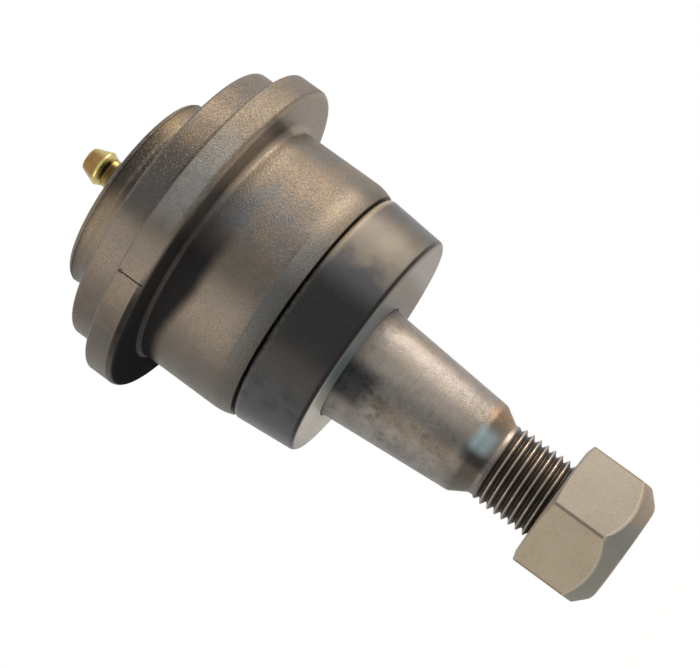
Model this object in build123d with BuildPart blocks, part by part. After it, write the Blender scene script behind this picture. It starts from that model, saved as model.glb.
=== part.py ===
from build123d import *
import os
from math import acos, asin, cos, degrees, radians, sin, sqrt, tan

# Offset press-in ball joint. Millimetres, +Z along the joint from the stud to the grease fitting,
# origin on the housing's own axis, at the middle of the diameter that is pressed into the axle.
# The socket, the ball and the stud stand off that axis towards -X, which sets camber or caster.

# ---- Driving dimensions -------------------------------------------------------------------------
press_radius = 22.7
press_length = 14.0
lead_in_length = 3.2
lead_in_depth = 0.65
seat_fillet = 1.2
flange_radius = 29.8
flange_thickness = 5.5
flange_lower_edge = 1.1
flange_upper_edge = 0.5
boss_step = 3.45
boss_height = 5.6
boss_edge = 0.6
collar_wall = 2.1
collar_height = 6.3
collar_edge = 1.2
collar_groove_radius = 0.25
collar_groove_drop = 2.3
collar_shift = 1.8
mark_angle = 244.3
mark_width = 0.5
mark_depth = 0.35
spigot_radius = 17.2
spigot_length = 3.6
spigot_groove_depth = 0.7
spigot_groove_width = 1.4

socket_shift = 2.8
ball_radius = 12.7
ball_height = 0.3
ball_to_bore = 2.0
floor_thickness = 3.2
swing_limit = 10.0
swing_margin = 1.5
running_clearance = 0.03
slip_clearance = 0.05
stop_clearance = 0.3

race_rim_drop = 0.3
liner_thickness = 1.5
liner_top_angle = 32.0
liner_bottom_angle = 74.0
seat_crown_thickness = 1.4
seat_rim_height = 6.0
seat_oil_hole_radius = 3.0
cover_ledge = 1.1
cover_thickness = 2.2
cover_depth = 2.9
cover_lip_width = 2.6
cover_dome_height = 1.9
cover_dome_radius = 8.6
cover_ring_radius = 0.55
disc_spring_thickness = 1.2
disc_spring_inner_radius = 5.5
disc_spring_margin = 0.8

neck_radius = 8.0
neck_length = 15.6
shoulder_radius = 10.45
shoulder_length = 1.7
stud_taper = 6.0
taper_length = 23.9
relief_length = 2.9
relief_end_radius = 6.7
relief_land = 0.7
thread_radius = 7.144
thread_length = 24.8
thread_end_chamfer = 1.0
ball_flat_radius = 5.0

boot_gap = 0.3
boot_top_radius = 22.0
boot_height = 11.55
boot_draft = 1.1
boot_top_edge = 0.5
boot_bottom_edge = 1.0
boot_wall = 2.4
boot_floor = 1.9
boot_lip_width = 2.1
boot_lip_height = 3.9
lip_spring_radius = 0.7
lip_spring_height = 2.65

nut_across_flats = 22.225
nut_height = 14.3
nut_angle = 1.4
nut_end_radius = 8.7
nut_end_slope = 46.0
nut_end_edge = 0.4
nut_face_radius = 9.8
nut_face_drop = 0.8
nut_counter_width = 0.7
nut_below_relief = 11.8

fitting_thread_radius = 3.175
fitting_shank_length = 3.2
fitting_hex_flats = 7.94
fitting_hex_height = 3.6
fitting_body_radius = 3.1
fitting_neck_radius = 2.6
fitting_head_radius = 3.2
fitting_tip_radius = 2.0
fitting_height = 10.65
fitting_collar_length = 1.2
fitting_neck_length = 1.05
fitting_flare_length = 1.3
fitting_head_length = 3.1
fitting_tip_round = 0.6
fitting_mouth_length = 0.5
fitting_bore_radius = 1.25
fitting_mouth_radius = 0.8
check_ball_radius = 1.0
check_spring_wire = 0.3
check_spring_length = 4.2

# ---- Radii and heights --------------------------------------------------------------------------
boss_radius = flange_radius - boss_step
bore_radius = ball_radius + ball_to_bore
cover_radius = bore_radius + cover_ledge
collar_radius = cover_radius + collar_wall
press_top = press_length / 2
press_bottom = -press_length / 2
flange_seat = press_top + seat_fillet
flange_top = flange_seat + flange_thickness
boss_top = flange_top + boss_height
collar_top = boss_top + collar_height
cover_top = collar_top - cover_depth
cover_seat = cover_top - cover_thickness
body_bottom = press_bottom - lead_in_length
spigot_bottom = body_bottom - spigot_length
floor_top = body_bottom + floor_thickness

clear_angle = degrees(acos(cos(radians(swing_limit)) ** 2)) + swing_margin
race_ball_radius = ball_radius + running_clearance
liner_inner_radius = ball_radius + running_clearance
liner_outer_radius = liner_inner_radius + liner_thickness
seat_sphere_radius = liner_outer_radius + running_clearance
seat_top = ball_height + seat_sphere_radius + seat_crown_thickness

neck_end = ball_height - neck_length
shoulder_bottom = body_bottom - boot_gap - boot_height
shoulder_top = shoulder_bottom + shoulder_length
taper_end = shoulder_bottom - taper_length
taper_end_radius = shoulder_radius - taper_length / stud_taper / 2
relief_end = taper_end - relief_length
thread_top = relief_end - relief_land
thread_bottom = thread_top - thread_length
nut_top = relief_end - nut_below_relief
nut_bottom = nut_top - nut_height

fitting_base = cover_top + cover_dome_height
fitting_tip = fitting_base + fitting_height


def plane_at(shift):
    """Upright drawing plane through an axis that stands off the housing's own towards -X."""
    return Plane(origin=(-shift, 0, 0), x_dir=(1, 0, 0), z_dir=(0, -1, 0))


def axis_at(shift):
    return Axis((-shift, 0, 0), (0, 0, 1))


def on_sphere(radius, angle):
    """Point of a ball's outline, at an angle from +Z, as distance from the axis and height."""
    return (radius * sin(radians(angle)), ball_height + radius * cos(radians(angle)))


# ---- Housing ------------------------------------------------------------------------------------
throat_angle = 180 - degrees(asin(neck_radius / ball_radius)) - clear_angle
throat_radius = race_ball_radius * sin(radians(throat_angle)) + stop_clearance
mouth_drop = ball_height - spigot_bottom
mouth_radius = (
    mouth_drop * tan(radians(clear_angle)) + neck_radius / cos(radians(clear_angle)) + stop_clearance
)
lip_opening_radius = cover_radius - cover_lip_width

with BuildPart() as housing:
    with BuildSketch(plane_at(0)) as housing_outline:
        with BuildLine():
            Polyline(
                (press_radius, press_bottom),
                (press_radius, press_top),
            )
            RadiusArc((press_radius, press_top), (press_radius + seat_fillet, flange_seat), seat_fillet)
            Polyline(
                (press_radius + seat_fillet, flange_seat),
                (flange_radius, flange_seat),
                (flange_radius, flange_top),
                (boss_radius, flange_top),
                (boss_radius, boss_top),
                (0, boss_top),
                (0, spigot_bottom),
                (spigot_radius, spigot_bottom),
                (spigot_radius, body_bottom),
                (press_radius - lead_in_depth, body_bottom),
            )
            RadiusArc(
                (press_radius - lead_in_depth, body_bottom),
                (press_radius, press_bottom),
                -(lead_in_length**2 + lead_in_depth**2) / (2 * lead_in_depth),
            )
        make_face()
        fillet(
            housing_outline.vertices().sort_by_distance((flange_radius, flange_seat))[0],
            flange_lower_edge,
        )
        fillet(
            housing_outline.vertices().sort_by_distance((flange_radius, flange_top))[0],
            flange_upper_edge,
        )
        fillet(
            housing_outline.vertices().sort_by_distance((boss_radius, boss_top))[0],
            boss_edge,
        )
    revolve(axis=axis_at(0))

    # Collar that is rolled over the cover plate, round an axis of its own.
    with BuildSketch(plane_at(collar_shift)) as collar_outline:
        with BuildLine():
            Polyline(
                (0, boss_top - boss_edge),
                (collar_radius, boss_top - boss_edge),
                (collar_radius, collar_top),
                (0, collar_top),
                close=True,
            )
        make_face()
        fillet(
            collar_outline.vertices().sort_by_distance((collar_radius, collar_top))[0],
            collar_edge,
        )
        with Locations((collar_radius, collar_top - collar_groove_drop)):
            Circle(collar_groove_radius, mode=Mode.SUBTRACT)
    revolve(axis=axis_at(collar_shift))

    # Socket bore, swing cone and cover seat.
    with BuildSketch(plane_at(socket_shift)):
        with BuildLine():
            Polyline(
                (0, cover_seat),
                (bore_radius, cover_seat),
                (bore_radius, floor_top),
                (throat_radius, floor_top),
                (mouth_radius, spigot_bottom),
                (0, spigot_bottom),
                close=True,
            )
        make_face()
    revolve(axis=axis_at(socket_shift), mode=Mode.SUBTRACT)
    with BuildSketch(plane_at(collar_shift)):
        with BuildLine():
            Polyline(
                (0, cover_seat),
                (cover_radius, cover_seat),
                (cover_radius, cover_top),
                (lip_opening_radius, cover_top),
                (lip_opening_radius, collar_top),
                (0, collar_top),
                close=True,
            )
        make_face()
    revolve(axis=axis_at(collar_shift), mode=Mode.SUBTRACT)

    # Groove that the boot's bead snaps into.
    with BuildSketch(plane_at(0)):
        with Locations((spigot_radius, (body_bottom + spigot_bottom) / 2)):
            Rectangle(2 * spigot_groove_depth, spigot_groove_width)
    revolve(axis=axis_at(0), mode=Mode.SUBTRACT)

    # Index mark on the flange's rim, which shows how the offset is turned.
    with Locations((0, 0, flange_seat + flange_thickness / 2)):
        with PolarLocations(flange_radius, 1, start_angle=mark_angle):
            Box(2 * mark_depth, mark_width, flange_thickness, mode=Mode.SUBTRACT)
housing.part.label = "housing"

# ---- Bearing stack ------------------------------------------------------------------------------
race_top = ball_height - race_rim_drop
with BuildPart() as lower_race:
    with BuildSketch(plane_at(socket_shift)):
        with Locations((bore_radius / 2, (floor_top + race_top) / 2)):
            Rectangle(bore_radius, race_top - floor_top)
        with Locations((0, ball_height)):
            Circle(race_ball_radius, mode=Mode.SUBTRACT)
        with Locations((throat_radius / 2, (floor_top + race_top) / 2)):
            Rectangle(throat_radius, race_top - floor_top, mode=Mode.SUBTRACT)
    revolve(axis=axis_at(socket_shift))
lower_race.part.label = "lower_race"

with BuildPart() as bearing_liner:
    with BuildSketch(plane_at(socket_shift)):
        with BuildLine():
            inner_top = on_sphere(liner_inner_radius, liner_top_angle)
            inner_bottom = on_sphere(liner_inner_radius, liner_bottom_angle)
            outer_top = on_sphere(liner_outer_radius, liner_top_angle)
            outer_bottom = on_sphere(liner_outer_radius, liner_bottom_angle)
            CenterArc(
                (0, ball_height), liner_inner_radius, 90 - liner_bottom_angle,
                liner_bottom_angle - liner_top_angle,
            )
            Line(inner_top, outer_top)
            CenterArc(
                (0, ball_height), liner_outer_radius, 90 - liner_bottom_angle,
                liner_bottom_angle - liner_top_angle,
            )
            Line(inner_bottom, outer_bottom)
        make_face()
    revolve(axis=axis_at(socket_shift))
bearing_liner.part.label = "bearing_liner"

seat_outer_radius = bore_radius - slip_clearance
seat_bottom = ball_height + seat_rim_height
with BuildPart() as pressure_seat:
    with BuildSketch(plane_at(socket_shift)):
        with Locations((seat_outer_radius / 2, (seat_bottom + seat_top) / 2)):
            Rectangle(seat_outer_radius, seat_top - seat_bottom)
        with Locations((0, ball_height)):
            Circle(seat_sphere_radius, mode=Mode.SUBTRACT)
        with Locations((seat_oil_hole_radius / 2, (seat_bottom + seat_top) / 2)):
            Rectangle(seat_oil_hole_radius, seat_top - seat_bottom, mode=Mode.SUBTRACT)
    revolve(axis=axis_at(socket_shift))
pressure_seat.part.label = "pressure_seat"

spring_outer_radius = bore_radius - disc_spring_margin
with BuildPart() as preload_spring:
    with BuildSketch(plane_at(socket_shift)):
        with BuildLine():
            Polyline(
                (spring_outer_radius, seat_top),
                (spring_outer_radius, seat_top + disc_spring_thickness),
                (disc_spring_inner_radius, cover_seat),
                (disc_spring_inner_radius, cover_seat - disc_spring_thickness),
                close=True,
            )
        make_face()
    revolve(axis=axis_at(socket_shift))
preload_spring.part.label = "preload_spring"

# ---- Cover --------------------------------------------------------------------------------------
ring_height = (cover_seat + cover_top) / 2
with BuildPart() as cover_plate:
    with BuildSketch(plane_at(collar_shift)):
        with BuildLine():
            Polyline(
                (fitting_thread_radius, cover_seat),
                (cover_radius, cover_seat),
                (cover_radius, cover_top),
                (cover_dome_radius + cover_dome_height, cover_top),
                (cover_dome_radius, fitting_base),
                (fitting_thread_radius, fitting_base),
                close=True,
            )
        make_face()
        with Locations((cover_radius, ring_height)):
            Rectangle(4 * cover_ring_radius, 2 * cover_ring_radius, mode=Mode.SUBTRACT)
    revolve(axis=axis_at(collar_shift))
cover_plate.part.label = "cover_plate"

with BuildPart() as cover_ring:
    with BuildSketch(plane_at(collar_shift)):
        with Locations((cover_radius - cover_ring_radius, ring_height)):
            Circle(cover_ring_radius - slip_clearance)
    revolve(axis=axis_at(collar_shift))
cover_ring.part.label = "cover_ring"

# ---- Grease fitting -----------------------------------------------------------------------------
fitting_bottom = fitting_base - fitting_shank_length
hex_top = fitting_base + fitting_hex_height
body_top = hex_top + fitting_collar_length
head_height = fitting_tip - fitting_head_length
neck_high = head_height - fitting_flare_length
neck_low = neck_high - fitting_neck_length
seat_drop = sqrt(check_ball_radius**2 - fitting_mouth_radius**2) + running_clearance
check_ball_height = fitting_tip - fitting_mouth_length - seat_drop
chamber_bottom = check_ball_height - check_ball_radius - check_spring_length

with BuildPart() as fitting_body:
    with BuildSketch(plane_at(collar_shift)) as fitting_outline:
        with BuildLine():
            Polyline(
                (0, fitting_bottom),
                (fitting_thread_radius, fitting_bottom),
                (fitting_thread_radius, fitting_base),
                (fitting_body_radius, fitting_base),
                (fitting_body_radius, body_top),
                (fitting_neck_radius, neck_low),
                (fitting_neck_radius, neck_high),
                (fitting_head_radius, head_height),
                (fitting_tip_radius, fitting_tip),
                (0, fitting_tip),
                close=True,
            )
        make_face()
        fillet(
            fitting_outline.vertices().sort_by_distance((fitting_tip_radius, fitting_tip))[0],
            fitting_tip_round,
        )
    revolve(axis=axis_at(collar_shift))
    with BuildSketch(Plane.XY.offset(fitting_base)):
        with Locations((-collar_shift, 0)):
            RegularPolygon(fitting_hex_flats / 2, 6, major_radius=False)
    extrude(amount=fitting_hex_height)
    with BuildSketch(plane_at(collar_shift)):
        with BuildLine():
            Polyline(
                (0, fitting_bottom),
                (fitting_mouth_radius, fitting_bottom),
                (fitting_mouth_radius, chamber_bottom),
                (fitting_bore_radius, chamber_bottom),
                (fitting_bore_radius, fitting_tip - fitting_mouth_length),
                (fitting_mouth_radius, fitting_tip - fitting_mouth_length),
                (fitting_mouth_radius, fitting_tip),
                (0, fitting_tip),
                close=True,
            )
        make_face()
    revolve(axis=axis_at(collar_shift), mode=Mode.SUBTRACT)
fitting_body.part.label = "fitting_body"

with BuildPart() as check_ball:
    with Locations((-collar_shift, 0, check_ball_height)):
        Sphere(check_ball_radius)
check_ball.part.label = "check_ball"

check_spring_radius = fitting_bore_radius - check_spring_wire
with BuildPart() as check_spring:
    with BuildLine():
        Helix(
            pitch=check_spring_length / 5,
            height=check_spring_length - 2 * check_spring_wire,
            radius=check_spring_radius,
            center=(-collar_shift, 0, chamber_bottom + check_spring_wire),
        )
    with BuildSketch(
        Plane(
            origin=(check_spring_radius - collar_shift, 0, chamber_bottom + check_spring_wire),
            z_dir=(0, 1, 0),
        )
    ):
        Circle(check_spring_wire / 2)
    sweep(is_frenet=True)
check_spring.part.label = "check_spring"

# ---- Ball stud ----------------------------------------------------------------------------------
ball_top = ball_height + sqrt(ball_radius**2 - ball_flat_radius**2)
ball_neck = ball_height - sqrt(ball_radius**2 - neck_radius**2)
neck_fillet = 2.5
shoulder_fillet = 1.5
taper_edge = 0.8
with BuildPart() as ball_stud:
    with BuildSketch(plane_at(socket_shift)) as stud_outline:
        with BuildLine():
            Line((0, ball_top), (ball_flat_radius, ball_top))
            ThreePointArc(
                (ball_flat_radius, ball_top),
                (ball_radius, ball_height),
                (neck_radius, ball_neck),
            )
            Polyline(
                (neck_radius, ball_neck),
                (neck_radius, neck_end),
                (shoulder_radius, shoulder_top),
                (shoulder_radius, shoulder_bottom),
                (taper_end_radius, taper_end),
                (relief_end_radius, relief_end),
                (relief_end_radius, thread_top),
                (thread_radius, thread_top - (thread_radius - relief_end_radius)),
                (thread_radius, thread_bottom + thread_end_chamfer),
                (thread_radius - thread_end_chamfer, thread_bottom),
                (0, thread_bottom),
                (0, ball_top),
            )
        make_face()
        fillet(stud_outline.vertices().sort_by_distance((neck_radius, neck_end))[0], neck_fillet)
        fillet(
            stud_outline.vertices().sort_by_distance((shoulder_radius, shoulder_top))[0],
            shoulder_fillet,
        )
        fillet(stud_outline.vertices().sort_by_distance((taper_end_radius, taper_end))[0], taper_edge)
    revolve(axis=axis_at(socket_shift))
ball_stud.part.label = "ball_stud"

# ---- Boot ---------------------------------------------------------------------------------------
boot_top = body_bottom - boot_gap
boot_bottom = boot_top - boot_height
boot_bottom_radius = boot_top_radius - boot_draft
boot_hole_radius = shoulder_radius + slip_clearance
boot_lip_radius = boot_hole_radius + boot_lip_width
boot_floor_top = boot_bottom + boot_floor
bead_height = (body_bottom + spigot_bottom) / 2
bead_width = spigot_groove_width - 2 * slip_clearance
bead_depth = spigot_groove_depth - slip_clearance
with BuildPart() as boot:
    with BuildSketch(plane_at(0)) as boot_outline:
        with BuildLine():
            Polyline(
                (0, boot_bottom),
                (boot_bottom_radius, boot_bottom),
                (boot_top_radius, boot_top),
                (spigot_radius + slip_clearance, boot_top),
                (spigot_radius + slip_clearance, spigot_bottom),
                (boot_top_radius - boot_wall, spigot_bottom),
                (boot_bottom_radius - boot_wall, boot_floor_top),
                (0, boot_floor_top),
                close=True,
            )
        make_face()
        fillet(
            boot_outline.vertices().sort_by_distance((boot_bottom_radius, boot_bottom))[0],
            boot_bottom_edge,
        )
        fillet(
            boot_outline.vertices().sort_by_distance((boot_top_radius, boot_top))[0],
            boot_top_edge,
        )
        with Locations((spigot_radius + slip_clearance - bead_depth / 2, bead_height)):
            Rectangle(bead_depth, bead_width)
    revolve(axis=axis_at(0))
    with BuildSketch(plane_at(socket_shift)):
        with Locations((boot_lip_radius / 2, boot_bottom + boot_lip_height / 2)):
            Rectangle(boot_lip_radius, boot_lip_height)
    revolve(axis=axis_at(socket_shift))
    with BuildSketch(plane_at(socket_shift)):
        with Locations((boot_hole_radius / 2, boot_bottom + boot_lip_height / 2)):
            Rectangle(boot_hole_radius, boot_lip_height)
        with Locations((boot_lip_radius, boot_bottom + lip_spring_height)):
            Circle(lip_spring_radius)
    revolve(axis=axis_at(socket_shift), mode=Mode.SUBTRACT)
boot.part.label = "boot"

with BuildPart() as lip_spring:
    with BuildSketch(plane_at(socket_shift)):
        with Locations((boot_lip_radius, boot_bottom + lip_spring_height)):
            Circle(lip_spring_radius - running_clearance)
    revolve(axis=axis_at(socket_shift))
lip_spring.part.label = "lip_spring"

# ---- Lock nut -----------------------------------------------------------------------------------
nut_corner_radius = nut_across_flats / sqrt(3)
nut_slope_length = (nut_corner_radius - nut_end_radius) / tan(radians(nut_end_slope))
with BuildPart() as lock_nut:
    with BuildSketch(Plane.XY.offset(nut_bottom)):
        with Locations((-socket_shift, 0)):
            RegularPolygon(nut_across_flats / 2, 6, major_radius=False, rotation=30 + nut_angle)
    extrude(amount=nut_height)
    with BuildSketch(plane_at(socket_shift)) as nut_outline:
        with BuildLine():
            Polyline(
                (0, nut_bottom),
                (nut_end_radius, nut_bottom),
                (nut_corner_radius, nut_bottom + nut_slope_length),
                (nut_corner_radius, nut_top - nut_face_drop),
                (nut_face_radius, nut_top),
                (0, nut_top),
                close=True,
            )
        make_face()
        fillet(
            nut_outline.vertices().sort_by_distance((nut_end_radius, nut_bottom))[0],
            nut_end_edge,
        )
    revolve(axis=axis_at(socket_shift), mode=Mode.INTERSECT)
    with BuildSketch(plane_at(socket_shift)):
        with BuildLine():
            Polyline(
                (0, nut_bottom),
                (thread_radius + nut_counter_width, nut_bottom),
                (thread_radius, nut_bottom + nut_counter_width),
                (thread_radius, nut_top - nut_counter_width),
                (thread_radius + nut_counter_width, nut_top),
                (0, nut_top),
                close=True,
            )
        make_face()
    revolve(axis=axis_at(socket_shift), mode=Mode.SUBTRACT)
lock_nut.part.label = "lock_nut"

# ---- Files --------------------------------------------------------------------------------------
os.makedirs("parts", exist_ok=True)
pieces = [
    housing,
    lower_race,
    bearing_liner,
    pressure_seat,
    preload_spring,
    cover_plate,
    cover_ring,
    fitting_body,
    check_ball,
    check_spring,
    ball_stud,
    boot,
    lip_spring,
    lock_nut,
]
for piece in pieces:
    export_step(piece.part, f"parts/{piece.part.label}.step")
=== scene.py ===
import math
from functools import reduce
from operator import mul

import bmesh
import bpy
from bpy.props import FloatProperty, FloatVectorProperty, IntProperty, PointerProperty
from mathutils import Matrix, Vector


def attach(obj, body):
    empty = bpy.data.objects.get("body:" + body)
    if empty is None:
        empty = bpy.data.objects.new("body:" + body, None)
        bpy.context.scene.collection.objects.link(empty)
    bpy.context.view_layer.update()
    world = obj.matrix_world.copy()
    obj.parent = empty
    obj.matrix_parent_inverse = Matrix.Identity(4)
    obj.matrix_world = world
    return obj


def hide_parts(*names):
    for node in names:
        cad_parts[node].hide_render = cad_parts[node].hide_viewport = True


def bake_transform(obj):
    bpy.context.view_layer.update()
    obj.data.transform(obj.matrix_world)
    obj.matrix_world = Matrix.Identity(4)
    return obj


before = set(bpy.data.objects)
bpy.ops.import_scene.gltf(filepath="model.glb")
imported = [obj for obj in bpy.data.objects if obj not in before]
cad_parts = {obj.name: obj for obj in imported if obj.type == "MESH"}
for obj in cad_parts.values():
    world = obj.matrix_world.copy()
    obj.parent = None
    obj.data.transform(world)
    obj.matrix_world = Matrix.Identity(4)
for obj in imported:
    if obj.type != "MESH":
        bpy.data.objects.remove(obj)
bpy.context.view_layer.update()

bl_info = {
    "name": "Offset Ball Joint",
    "version": (1, 0, 0),
    "blender": (4, 5, 0),
    "location": "3D View > Sidebar > Ball Joint",
    "description": "An offset suspension ball joint: turned housing, rubber boot, stud and nut",
    "category": "Object",
}

MM = 0.001

# Distances of the upright axes from the housing's own, towards -X, in millimetres.
HOUSING_AXIS = 0.0
SOCKET_AXIS = 2.8
COVER_AXIS = 1.8

# Radii and heights of the housing, its bore and its cover, in millimetres.
SPIGOT_RADIUS, SPIGOT_BOTTOM = 17.2, -13.8
LEAD_IN_BOTTOM = -10.2
LEAD_IN_CENTRE, LEAD_IN_ARC = (14.5, -7.0), (8.2, 22.97)    # the arc's radius and its degrees
LAND_RADIUS = 22.7
FLANGE_RADIUS, FLANGE_BOTTOM, FLANGE_TOP = 29.8, 8.2, 13.7
BOSS_RADIUS, BOSS_TOP = 26.35, 19.3
COLLAR_RADIUS, COLLAR_TOP = 17.9, 25.6
BORE_RADIUS, BORE_BOTTOM, BORE_TOP = 14.7, -7.0, 20.6
COVER_RADIUS, COVER_BOTTOM, COVER_RIM = 15.8, 20.5, 22.7
MARK_ANGLE = 244.3    # degrees round the housing's axis
LINE_THICKNESS, LINE_MIDDLE, LINE_LENGTH = 1.4, 10.95, 4.5    # of the tool, also in height
DOT_RADIUS, DOT_HEIGHT, DOT_DEPTH, DOT_WIDTH = 30.0, 12.9, 1.2, 1.15

# Radii and heights of the stud and the nut, in millimetres.
BALL_RADIUS, BALL_HEIGHT = 12.7, 0.3
SHOULDER_RADIUS, SHOULDER_HEIGHT = 10.45, -22.05
TAPER_END, RELIEF_END, STUD_END = -45.95, -48.85, -74.35
RELIEF_RADIUS = 6.7
THREAD_RADIUS, THREAD_PITCH, THREAD_DEPTH = 7.144, 1.411, 0.86
NUT_TOP, NUT_BOTTOM = -60.65, -74.95
NUT_CONE, NUT_CONE_RADIUS = 1.037, 8.7    # slope of the far end, and its radius at the bottom
NUT_REACH = 12.95
NUT_TURN = 31.4    # degrees

# Radii and heights of the boot and the grease fitting, in millimetres.
BOOT_TOP, BOOT_SEAM, BOOT_FLOOR, BOOT_BOTTOM = -10.5, -15.3, -20.15, -22.05
SEAM_OUTER, SEAM_INNER = 21.543, 19.340
BOOT_ROW = 0.6    # longest distance between rows of the boot's wall and base
GARTER_RADIUS, GARTER_HEIGHT = 12.6, -19.4
FITTING_RADIUS, FITTING_BASE, FITTING_TIP = 3.175, 24.6, 35.25
HEXAGON_FLATS, HEXAGON_CORNER, HEXAGON_HEIGHT = 7.94, 0.25, 3.6
VALVE_FOOT, VALVE_TOP = 28.735, 34.75
DUCT_RADIUS, VALVE_RADIUS = 0.8, 1.25

# Gaps that are closed and edges that are too short to keep, in metres.
SEAM_GAP, DOUBLE_GAP, JOIN_GAP, SHORT_EDGE = 1e-6, 5e-7, 2e-6, 1e-7

# The stage, in metres and degrees.
LOOK_AT = (0.0, 0.0, -0.018)
CAMERA_DISTANCE, CAMERA_PITCH, CAMERA_ROLL, CAMERA_LENS = 0.349, 7.9, 54.0, 109.2
FLOOR_HEIGHT, FLOOR_RADIUS = (NUT_BOTTOM - 30.0) * MM, 3.0
FLOOR_FADE = 0.12, 0.50    # distances from the joint where the floor turns white
LAMP_SIZE = 0.36
WHITE = (1, 1, 1)


# ---- Sizes and colours that a user would change ----
def millimetres(name, description, value):
    return FloatProperty(
        name=name, description=description, default=value * MM, unit="LENGTH", precision=5
    )


def colour(name, description, value):
    return FloatVectorProperty(
        name=name, description=description, default=value, size=3, subtype="COLOR", min=0, max=1
    )


def strength(name, description, value, unit="NONE"):
    return FloatProperty(name=name, description=description, default=value, min=0, unit=unit)


class BallJointSizes(bpy.types.PropertyGroup):
    segments: IntProperty(
        name="Segments", description="Flats round each turned piece", default=192, min=24, max=512
    )
    thread_radius: millimetres("Thread radius", "Major radius of the stud's thread", THREAD_RADIUS)
    thread_pitch: millimetres("Thread pitch", "Distance from one turn to the next", THREAD_PITCH)
    thread_depth: millimetres("Thread depth", "Height of the thread's ridge", THREAD_DEPTH)
    nut_flats: millimetres("Nut size", "Lock nut across its flats", 22.225)
    nut_corner: millimetres("Nut corner", "Rounding of the nut's long edges", 0.7)
    mark_width: millimetres("Index mark width", "Width of the line on the flange", 0.24)
    mark_depth: millimetres("Index mark depth", "Depth of the line on the flange", 0.35)
    garter_wire: millimetres("Garter wire", "Wire radius of the spring in the boot's lip", 0.16)
    garter_turns: IntProperty(
        name="Garter turns", description="Turns of the spring in the lip", default=150, min=20
    )
    valve_wire: millimetres("Valve wire", "Wire radius of the spring in the fitting", 0.15)


class BallJointFinishes(bpy.types.PropertyGroup):
    housing: colour("Housing", "Blasted and phosphated steel", (0.128, 0.109, 0.090))
    housing_dark: colour("Housing stain", "Darker patches of the phosphate", (0.070, 0.063, 0.058))
    stud: colour("Stud", "Turned steel of the taper", (0.243, 0.217, 0.196))
    stud_dark: colour("Stud stain", "Brown film on the stud", (0.121, 0.105, 0.090))
    boot: colour("Boot", "Charcoal rubber", (0.010, 0.010, 0.011))
    boot_dust_and_sheen: colour("Boot dust", "Pale bloom on the rubber", (0.150, 0.132, 0.115))
    nut: colour("Nut", "Matt zinc of the lock nut", (0.298, 0.275, 0.244))
    nut_dark: colour("Nut stain", "Darker specks in the zinc", (0.235, 0.218, 0.180))
    fitting: colour("Fitting", "Golden plating of the grease fitting", (0.520, 0.425, 0.170))
    liner: colour("Liner", "Bearing plastic", (0.720, 0.690, 0.580))


class BallJointStage(bpy.types.PropertyGroup):
    key: strength("Key light", "Power of the main lamp", 3.8, "POWER")
    fill: strength("Fill light", "Power of the second lamp", 0.88, "POWER")
    world: strength("World", "Light from all round", 0.45)


# ---- Node trees ----
class Field:
    """A socket to calculate with: sums of fields and numbers become Math nodes."""

    def __init__(self, make, socket):
        self.make, self.socket = make, socket

    def __add__(self, other):
        return self.make.calc("ADD", self, other)

    def __sub__(self, other):
        return self.make.calc("SUBTRACT", self, other)

    def __mul__(self, other):
        return self.make.calc("MULTIPLY", self, other)

    def __truediv__(self, other):
        return self.make.calc("DIVIDE", self, other)


class Nodes:
    """Makes and joins the nodes of one tree."""

    def __init__(self, tree):
        self.tree = tree

    def add(self, kind, inputs=None, **settings):
        node = self.tree.nodes.new(kind)
        for key, value in settings.items():
            setattr(node, key, value)
        for key, value in (inputs or {}).items():
            self.feed(node.inputs[key], value)
        return node

    def read(self, output, kind, inputs=None, **settings):
        """One output of a new node, as a field."""
        return Field(self, self.add(kind, inputs, **settings).outputs[output])

    def feed(self, socket, value):
        """Links a field or node, or sets a plain value. Colours need no fourth number."""
        if isinstance(value, Field):
            value = value.socket
        elif isinstance(value, bpy.types.Node):
            value = next(s for s in value.outputs if s.enabled)
        if isinstance(value, bpy.types.NodeSocket):
            self.tree.links.new(value, socket)
        elif value is not None:
            socket.default_value = (*value, 1.0) if socket.type == "RGBA" else value

    def calc(self, operation, *values):
        return self.read(0, "ShaderNodeMath", dict(enumerate(values)), operation=operation)

    def vector_calc(self, operation, *vectors):
        output = "Value" if operation == "LENGTH" else "Vector"
        inputs = dict(enumerate(vectors))
        return self.read(output, "ShaderNodeVectorMath", inputs, operation=operation)

    def vector(self, *parts):
        return self.read(0, "ShaderNodeCombineXYZ", dict(enumerate(parts)))

    def apart(self, vector):
        node = self.add("ShaderNodeSeparateXYZ", {0: vector})
        return [Field(self, part) for part in node.outputs]

    def noise(self, vector, scale, detail, roughness, distortion=0.0):
        inputs = {"Vector": vector, "Scale": scale, "Detail": detail}
        inputs.update({"Roughness": roughness, "Distortion": distortion})
        return self.read("Fac", "ShaderNodeTexNoise", inputs)

    def span(self, value, low, high, to_low=0.0, to_high=1.0, kind="SMOOTHSTEP"):
        inputs = dict(enumerate((value, low, high, to_low, to_high)))
        return self.read("Result", "ShaderNodeMapRange", inputs, interpolation_type=kind)

    def ramp(self, value, low, high, to_low=0.0, to_high=1.0):
        """A span from low to high in millimetres."""
        return self.span(value, low * MM, high * MM, to_low, to_high)

    def window(self, value, low_start, low_end, high_start, high_end):
        """1 from low_end to high_start and 0 outside low_start and high_end, in millimetres."""
        return self.ramp(value, low_start, low_end) * self.ramp(value, high_end, high_start)

    def by(self, mask, at_none, at_full):
        """A factor that goes from at_none to at_full with the mask."""
        return self.span(mask, 0.0, 1.0, at_none, at_full)

    def mix(self, share_of_b, a, b):
        return self.read(2, "ShaderNodeMix", {0: share_of_b, 6: a, 7: b}, data_type="RGBA")


def cleared(owner):
    """The empty node tree of a material or world."""
    owner.use_nodes = True
    owner.node_tree.nodes.clear()
    return Nodes(owner.node_tree)


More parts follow.
